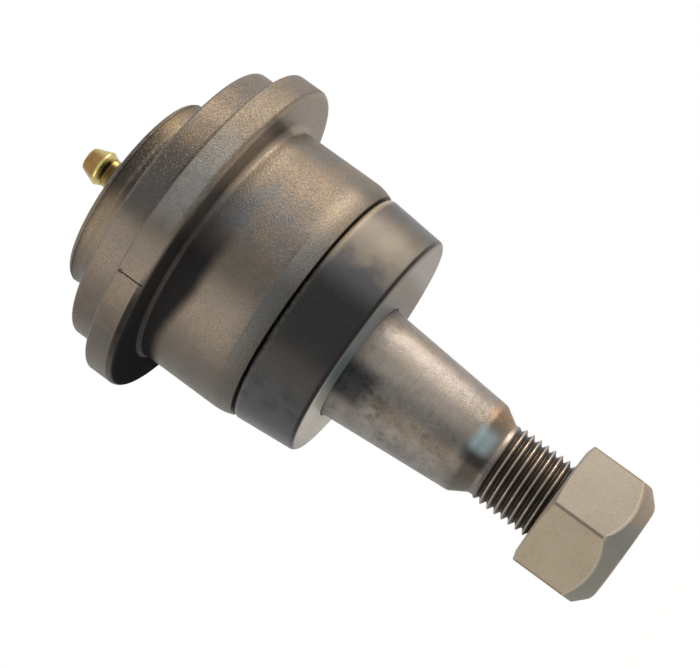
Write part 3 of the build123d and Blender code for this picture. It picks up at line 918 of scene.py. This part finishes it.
def keep(piece, material, node, body=None):
    """Gives a finished piece its one material, hides the CAD node it stands for, and attaches it to
    a body if one is given.
    """
    piece.data.materials.clear()
    piece.data.materials.append(material)
    for face in piece.data.polygons:
        face.material_index = 0
    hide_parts(node)
    if body:
        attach(piece, body)


def coat_node(node, material):
    """A CAD node that stays gets a better material."""
    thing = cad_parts[node]
    if not thing.material_slots:
        thing.data.materials.append(material)
    thing.material_slots[0].material = material


# ---- Pieces ----
def chosen(scene):
    """The sizes and finishes set in the panel."""
    return scene.ball_joint_sizes, scene.ball_joint_finishes


class BALLJOINT_OT_prepare(bpy.types.Operator):
    """Make the node trees and groups that the pieces use"""

    bl_idname = "ball_joint.prepare"
    bl_label = "Node Trees"

    def execute(self, context):
        for build in (
            turned_solid_tree, threaded_rod_tree, wound_wire_tree,
            grain_group, patch_group, turning_group, edge_group,
        ):
            build()
        return {"FINISHED"}


class BALLJOINT_OT_housing(bpy.types.Operator):
    """Make the housing with its flange, collar, bores and index mark, and its cover plate"""

    bl_idname = "ball_joint.housing"
    bl_label = "Housing and Cover"

    def execute(self, context):
        sizes, finishes = chosen(context.scene)
        steel = blasted_steel("Blasted Steel", finishes.housing, finishes.housing_dark)

        # The lead-in is an arc that runs up into the land.
        lead_in, steps = [], 6
        (across, up), (reach, sweep) = LEAD_IN_CENTRE, LEAD_IN_ARC
        for step in range(1, steps + 1):
            angle = math.radians(sweep * (1 - step / steps))
            lead_in.append((across + reach * math.cos(angle), up - reach * math.sin(angle)))
        outline = [
            (0, SPIGOT_BOTTOM), (SPIGOT_RADIUS, SPIGOT_BOTTOM, 0.3),
            (SPIGOT_RADIUS, -12.7), (16.5, -12.7), (16.5, -11.3), (SPIGOT_RADIUS, -11.3),
            (SPIGOT_RADIUS, LEAD_IN_BOTTOM), (22.05, LEAD_IN_BOTTOM, 0.15), *lead_in,
            (LAND_RADIUS, FLANGE_BOTTOM, 1.2), (FLANGE_RADIUS, FLANGE_BOTTOM, 1.1),
            (FLANGE_RADIUS, FLANGE_TOP, 0.5), (BOSS_RADIUS, FLANGE_TOP, 0.3),
            (BOSS_RADIUS, BOSS_TOP, 0.6), (0, BOSS_TOP),
        ]
        body = turned("housing_shell", steel, outline)
        collar = [
            (0, 18.6), (18.1, 18.6), (18.1, 19.2), (COLLAR_RADIUS, 19.6, 0.3),
            (COLLAR_RADIUS, 22.3, 0.8), (17.72, 23.3, 1.5), (COLLAR_RADIUS, 24.3, 0.4),
            (COLLAR_RADIUS, COLLAR_TOP, 1.2), (0, COLLAR_TOP),
        ]
        bore = [
            (0, -14.8), (12.818, -14.8), (10.683, BORE_BOTTOM), (BORE_RADIUS, BORE_BOTTOM),
            (BORE_RADIUS, BORE_TOP), (0, BORE_TOP),
        ]
        recess = [
            (0, COVER_BOTTOM), (COVER_RADIUS, COVER_BOTTOM), (COVER_RADIUS, COVER_RIM),
            (13.2, COVER_RIM), (13.2, 24.9, 0.6), (14.0, 25.7), (14.0, 26.6), (0, 26.6),
        ]
        for name, outline, axis, operation in (
            ("collar", collar, COVER_AXIS, "UNION"),
            ("bore", bore, SOCKET_AXIS, "DIFFERENCE"),
            ("recess", recess, COVER_AXIS, "DIFFERENCE"),
        ):
            combine(body, turned(name, steel, outline, axis), operation)
        for tool in mark_tools(sizes):
            combine(body, tool)
        keep(settle(body), steel, "housing", "housing")

        colours = finishes.housing, finishes.housing_dark
        pressed = blasted_steel("Pressed Steel", *colours, grain=0.22, rough=(0.36, 0.50))
        outline = [
            (FITTING_RADIUS, COVER_BOTTOM), (COVER_RADIUS, COVER_BOTTOM, 0.2),
            (COVER_RADIUS, 20.9), (14.7, 20.9), (14.7, 22.0), (COVER_RADIUS, 22.0),
            (COVER_RADIUS, COVER_RIM, 0.2), (10.5, COVER_RIM, 2.5), (8.6, FITTING_BASE, 2.5),
            (FITTING_RADIUS, FITTING_BASE, 0.2),
        ]
        cover = turned("cover_dome", pressed, outline, COVER_AXIS, closed=True)
        keep(cover, pressed, "cover_plate", "housing")
        return {"FINISHED"}


def mark_tools(sizes):
    """The tools that cut the line across the flange's rim and the punched dot at its upper end."""
    line, dot = bmesh.new(), bmesh.new()
    bmesh.ops.create_cube(line, size=1.0)
    for vertex in line.verts:
        middle = FLANGE_RADIUS + LINE_THICKNESS / 2
        vertex.co.x = (middle + vertex.co.x * LINE_THICKNESS) * MM - sizes.mark_depth
        vertex.co.y *= sizes.mark_width
        vertex.co.z = (LINE_MIDDLE + vertex.co.z * LINE_LENGTH) * MM
    place = Matrix.Translation((DOT_RADIUS * MM, 0, DOT_HEIGHT * MM))
    bmesh.ops.create_cone(
        dot, cap_ends=True, segments=24, radius1=0.05 * MM, radius2=DOT_WIDTH * MM,
        depth=DOT_DEPTH * MM, matrix=place @ Matrix.Rotation(math.radians(90), 4, "Y"),
    )
    tools = []
    for name, work in (("line", line), ("dot", dot)):
        turn = Matrix.Rotation(math.radians(MARK_ANGLE), 3, "Z")
        bmesh.ops.rotate(work, verts=work.verts, matrix=turn)
        tools.append(settle(add_object(name, write_mesh(work, bpy.data.meshes.new(name)))))
    return tools


class BALLJOINT_OT_stud(bpy.types.Operator):
    """Make the ball stud with its taper, relief and thread"""

    bl_idname = "ball_joint.stud"
    bl_label = "Ball Stud"

    def execute(self, context):
        sizes, finishes = chosen(context.scene)
        steel = turned_steel("Turned Steel", finishes.stud, finishes.stud_dark)
        ball, neck_angle, flat_angle, steps = [], 140.95, 23.18, 40    # degrees from the top
        for step in range(steps + 1):
            angle = math.radians(neck_angle + (flat_angle - neck_angle) * step / steps)
            height = BALL_HEIGHT + BALL_RADIUS * math.cos(angle)
            ball.append((BALL_RADIUS * math.sin(angle), height))
        outline = [
            (RELIEF_RADIUS, RELIEF_END), (8.458, TAPER_END, 1.6),
            (SHOULDER_RADIUS, SHOULDER_HEIGHT), (SHOULDER_RADIUS, -20.35, 1.5),
            (8.0, -15.3, 2.5), *ball, (0, 11.974),
        ]
        stud = turned("stud_bar", steel, outline, SOCKET_AXIS, longest=1.5)
        values = {
            "Segments": sizes.segments,
            "Radius": sizes.thread_radius,
            "Pitch": sizes.thread_pitch,
            "Depth": sizes.thread_depth,
        }
        join(stud, grow("thread", "Threaded Rod", steel, values))
        keep(settle(stud, 50), steel, "ball_stud", "stud")
        return {"FINISHED"}


class BALLJOINT_OT_nut(bpy.types.Operator):
    """Make the lock nut from a hexagon bar and a turned outline"""

    bl_idname = "ball_joint.nut"
    bl_label = "Lock Nut"

    def execute(self, context):
        sizes, finishes = chosen(context.scene)
        matt = zinc("Matt Zinc", finishes.nut, finishes.nut_dark)
        low, high = NUT_BOTTOM - 1, NUT_TOP + 1    # ends of the bar and of the hole's tool
        flats, corner = sizes.nut_flats, sizes.nut_corner
        nut = prism("nut_hex", matt, flats, corner, (low, high), SOCKET_AXIS, NUT_TURN)
        blank = [
            (0, NUT_BOTTOM), (NUT_CONE_RADIUS, NUT_BOTTOM, 2.4),
            (NUT_REACH, NUT_BOTTOM + 4.1, 4.0), (NUT_REACH, NUT_TOP - 0.84),
            (9.8, NUT_TOP), (0, NUT_TOP),
        ]
        hole = [
            (0, low), (8.844, low), (THREAD_RADIUS, NUT_BOTTOM + 0.7),
            (THREAD_RADIUS, NUT_TOP - 0.7), (8.844, high), (0, high),
        ]
        for name, outline, operation in (
            ("nut_blank", blank, "INTERSECT"),
            ("nut_bore", hole, "DIFFERENCE"),
        ):
            combine(nut, turned(name, matt, outline, SOCKET_AXIS), operation)
        keep(settle(nut, 24), matt, "lock_nut", "stud")
        return {"FINISHED"}


class BALLJOINT_OT_boot(bpy.types.Operator):
    """Make the boot's two halves, which meet at mid height, its lip, and the lip's garter spring"""

    bl_idname = "ball_joint.boot"
    bl_label = "Boot"

    def execute(self, context):
        sizes, finishes = chosen(context.scene)
        soft = rubber("Charcoal Rubber", finishes.boot, finishes.boot_dust_and_sheen)
        wall = [
            (17.25, BOOT_TOP), (17.25, -11.35), (16.6, -11.35), (16.6, -12.65),
            (17.25, -12.65), (17.25, SPIGOT_BOTTOM), (19.6, SPIGOT_BOTTOM),
            (SEAM_INNER, BOOT_SEAM), (SEAM_OUTER, BOOT_SEAM), (22.0, BOOT_TOP, 0.9),
        ]
        base = [
            (0, BOOT_BOTTOM), (20.9, BOOT_BOTTOM, 1.0), (SEAM_OUTER, BOOT_SEAM),
            (SEAM_INNER, BOOT_SEAM), (18.5, BOOT_FLOOR, 0.6), (0, BOOT_FLOOR),
        ]
        lip = [
            (0, BOOT_FLOOR), (12.6, BOOT_FLOOR), (11.95, GARTER_HEIGHT, 0.5), (12.6, -18.7),
            (12.6, -18.15, 0.2), (0, -18.15),
        ]
        upper = turned("boot_wall", soft, wall, closed=True, longest=BOOT_ROW)
        lower = turned("boot_base", soft, base, longest=BOOT_ROW)
        lip = turned("boot_lip", soft, lip, SOCKET_AXIS)
        hole = [(0, -23), (11.8, -23), (10.5, -21.7), (10.5, -17), (0, -17)]
        for part in (lower, lip):
            combine(part, turned("hole", soft, hole, SOCKET_AXIS))
            settle(part)
        keep(upper, soft, "boot")
        keep(lower, soft, "boot")
        keep(lip, soft, "boot", "lip")
        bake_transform(upper)
        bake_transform(lower)

        wire = plated("Spring Wire", (0.36, 0.36, 0.37), 1.0, 0.28, SOCKET_AXIS)
        values = {
            "Ring Radius": GARTER_RADIUS * MM,
            "Coil Radius": 0.5 * MM,
            "Wire Radius": sizes.garter_wire,
            "Turns": float(sizes.garter_turns),
            "Points Per Turn": 10,
            "Closed": True,
            "Foot": (-SOCKET_AXIS * MM, 0.0, GARTER_HEIGHT * MM),
        }
        garter = grow("garter_spring", "Wound Wire", wire, values)
        keep(garter, wire, "lip_spring", "lip")
        return {"FINISHED"}


class BALLJOINT_OT_fitting(bpy.types.Operator):
    """Make the grease fitting with its hexagon, valve ball and valve spring"""

    bl_idname = "ball_joint.fitting"
    bl_label = "Grease Fitting"

    def execute(self, context):
        sizes, finishes = chosen(context.scene)
        gold = plated("Golden Plating", finishes.fitting, 1.0, 0.22, stain=0.35, painted_tip_and_neck=True)
        outline = [
            (0, 21.4), (FITTING_RADIUS, 21.4), (FITTING_RADIUS, FITTING_BASE),
            (3.1, FITTING_BASE), (3.1, 29.4, 0.3), (2.6, 29.85, 0.5), (2.6, 30.85, 0.6),
            (3.2, 32.15, 0.4), (2.0, FITTING_TIP, 0.5), (0, FITTING_TIP),
        ]
        fitting = turned("grease_nipple", gold, outline, COVER_AXIS)
        flats, corner = HEXAGON_FLATS * MM, HEXAGON_CORNER * MM
        heights = FITTING_BASE, FITTING_BASE + HEXAGON_HEIGHT
        hexagon = prism("fitting_hex", gold, flats, corner, heights, COVER_AXIS)
        blank = [(0, 24.5), (4.2, 24.5), (4.62, 24.9), (4.62, 27.6), (4.1, 28.3), (0, 28.3)]
        combine(hexagon, turned("hex_blank", gold, blank, COVER_AXIS), "INTERSECT")
        combine(fitting, hexagon, "UNION")
        duct = [
            (0, 20.5), (DUCT_RADIUS, 20.5), (DUCT_RADIUS, VALVE_FOOT),
            (VALVE_RADIUS, VALVE_FOOT), (VALVE_RADIUS, VALVE_TOP),
            (DUCT_RADIUS, VALVE_TOP), (DUCT_RADIUS, 36.5), (0, 36.5),
        ]
        combine(fitting, turned("duct", gold, duct, COVER_AXIS))
        keep(settle(fitting), gold, "fitting_body", "housing")

        bright = plated("Bright Steel", (0.45, 0.45, 0.46), 1.0, 0.18)
        coat_node("check_ball", bright)
        values = {
            "Coil Radius": 0.95 * MM,
            "Wire Radius": sizes.valve_wire,
            "Turns": 5.0,
            "Points Per Turn": 20,
            "Rise": 3.6 * MM,
            "Foot": (-COVER_AXIS * MM, 0.0, 29.05 * MM),
        }
        coil = grow("valve_spring", "Wound Wire", bright, values)
        keep(coil, bright, "check_spring", "housing")
        return {"FINISHED"}


class BALLJOINT_OT_bearing(bpy.types.Operator):
    """Coat the races, liner, disc spring and ring inside the housing"""

    bl_idname = "ball_joint.bearing"
    bl_label = "Bearing"

    def execute(self, context):
        liner = context.scene.ball_joint_finishes.liner
        ground = plated("Ground Steel", (0.42, 0.41, 0.40), 0.95, 0.25, SOCKET_AXIS)
        disc = plated("Spring Disc", (0.30, 0.30, 0.31), 0.9, 0.32, SOCKET_AXIS)
        for node, material in (
            ("lower_race", ground),
            ("pressure_seat", ground),
            ("preload_spring", disc),
            ("bearing_liner", plated("Bearing Plastic", liner, 0.0, 0.42, SOCKET_AXIS)),
            ("cover_ring", rubber("Ring Rubber", (0.02, 0.02, 0.02), (0.06, 0.06, 0.06))),
        ):
            coat_node(node, material)
        return {"FINISHED"}


# ---- Stage ----
def floor_material():
    """A pale matt floor that fades to white away from the joint and is clear from below."""
    material = bpy.data.materials.new("Pale Floor")
    make = cleared(material)
    place = make.read("Object", "ShaderNodeTexCoord")
    far = make.span(make.vector_calc("LENGTH", place), *FLOOR_FADE)
    matt = make.add("ShaderNodeBsdfDiffuse", {"Color": (0.86, 0.86, 0.86)})
    seen = make.read("Is Camera Ray", "ShaderNodeLightPath")
    lift = make.add("ShaderNodeEmission", {"Color": WHITE, "Strength": seen * 0.45})
    near = make.add("ShaderNodeAddShader", {0: matt, 1: lift})
    glow = make.add("ShaderNodeEmission", {"Color": WHITE, "Strength": 1.0})
    pale = make.add("ShaderNodeMixShader", {0: far, 1: near, 2: glow})
    clear = make.add("ShaderNodeBsdfTransparent")
    below = make.read("Backfacing", "ShaderNodeNewGeometry")
    shown = make.add("ShaderNodeMixShader", {0: below, 1: pale, 2: clear})
    make.add("ShaderNodeOutputMaterial", {"Surface": shown})
    return material


def white_world(light):
    """Surroundings that look white, and light the joint with the given strength."""
    world = bpy.data.worlds.new("Surroundings")
    bpy.context.scene.world = world
    make = cleared(world)
    path = make.add("ShaderNodeLightPath").outputs
    seen = make.calc("MAXIMUM", path["Is Camera Ray"], path["Is Glossy Ray"])
    seen = make.calc("MAXIMUM", seen, path["Is Transmission Ray"])
    glow = make.span(seen, 0.0, 1.0, light, 1.0, "LINEAR")
    sky = make.add("ShaderNodeBackground", {"Color": WHITE, "Strength": glow})
    make.add("ShaderNodeOutputWorld", {"Surface": sky})


def add_lamp(name, power, tint, place):
    """A square lamp that looks at the middle of the joint."""
    data = bpy.data.lights.new(name, "AREA")
    data.energy, data.color, data.size = power, tint, LAMP_SIZE
    lamp = add_object(name, data)
    lamp.location = place
    lamp.rotation_mode = "QUATERNION"
    lamp.rotation_quaternion = (Vector(LOOK_AT) - Vector(place)).to_track_quat("-Z", "Y")


def add_camera():
    """The camera looks a little up along the joint from the nut's side, turned on its own axis."""
    pitch, roll = math.radians(CAMERA_PITCH), math.radians(CAMERA_ROLL)
    back = Vector((0, -math.cos(pitch), -math.sin(pitch)))
    data = bpy.data.cameras.new("Camera")
    data.sensor_width = 36.0
    data.lens = CAMERA_LENS
    camera = add_object("Camera", data)
    upright = (Vector((0, 0, 1)) - back * back.z).normalized()
    side = upright.cross(back)
    right = side * math.cos(roll) - upright * math.sin(roll)
    up = side * math.sin(roll) + upright * math.cos(roll)
    turn = Matrix((right, up, back)).transposed().to_4x4()
    camera.matrix_world = Matrix.Translation(Vector(LOOK_AT) + back * CAMERA_DISTANCE) @ turn
    bpy.context.scene.camera = camera


class BALLJOINT_OT_stage(bpy.types.Operator):
    """Make the floor, the lamps, the white surroundings and the camera"""

    bl_idname = "ball_joint.stage"
    bl_label = "Stage"

    def execute(self, context):
        stage = context.scene.ball_joint_stage
        work = bmesh.new()
        bmesh.ops.create_circle(work, cap_ends=True, segments=96, radius=FLOOR_RADIUS)
        for face in work.faces:
            if face.normal.z < 0:
                face.normal_flip()
        mesh = write_mesh(work, bpy.data.meshes.new("floor"))
        mesh.materials.append(floor_material())
        floor = add_object("floor", mesh)
        floor.location.z = FLOOR_HEIGHT

        white_world(stage.world)
        add_lamp("key", stage.key, (1.0, 0.85, 0.66), (0.53, -0.05, 0.13))
        add_lamp("fill", stage.fill, (1.0, 0.86, 0.68), (-0.47, -0.29, 0.06))
        context.scene.view_settings.view_transform = "Standard"
        add_camera()
        return {"FINISHED"}


class BALLJOINT_PT_panel(bpy.types.Panel):
    """Sizes, finishes and steps of the ball joint"""

    bl_idname = "BALLJOINT_PT_panel"
    bl_label = "Ball Joint"
    bl_space_type = "VIEW_3D"
    bl_region_type = "UI"
    bl_category = "Ball Joint"

    def draw(self, context):
        for name in GROUPS:
            group, box = getattr(context.scene, name), self.layout.box()
            for key in group.bl_rna.properties.keys():
                if key not in ("rna_type", "name"):
                    box.prop(group, key)
        for step in STEPS:
            self.layout.operator(step.bl_idname)


STEPS = (
    BALLJOINT_OT_prepare,
    BALLJOINT_OT_housing,
    BALLJOINT_OT_stud,
    BALLJOINT_OT_nut,
    BALLJOINT_OT_boot,
    BALLJOINT_OT_fitting,
    BALLJOINT_OT_bearing,
    BALLJOINT_OT_stage,
)
GROUPS = {
    "ball_joint_sizes": BallJointSizes,
    "ball_joint_finishes": BallJointFinishes,
    "ball_joint_stage": BallJointStage,
}
CLASSES = (*GROUPS.values(), *STEPS, BALLJOINT_PT_panel)


def register():
    for kind in CLASSES:
        bpy.utils.register_class(kind)
    for name, kind in GROUPS.items():
        setattr(bpy.types.Scene, name, PointerProperty(type=kind))


def unregister():
    for name in GROUPS:
        delattr(bpy.types.Scene, name)
    for kind in reversed(CLASSES):
        bpy.utils.unregister_class(kind)


def main():
    register()
    for step in STEPS:
        area, name = step.bl_idname.split(".")
        getattr(getattr(bpy.ops, area), name)()
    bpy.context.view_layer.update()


if __name__ == "__main__":
    main()
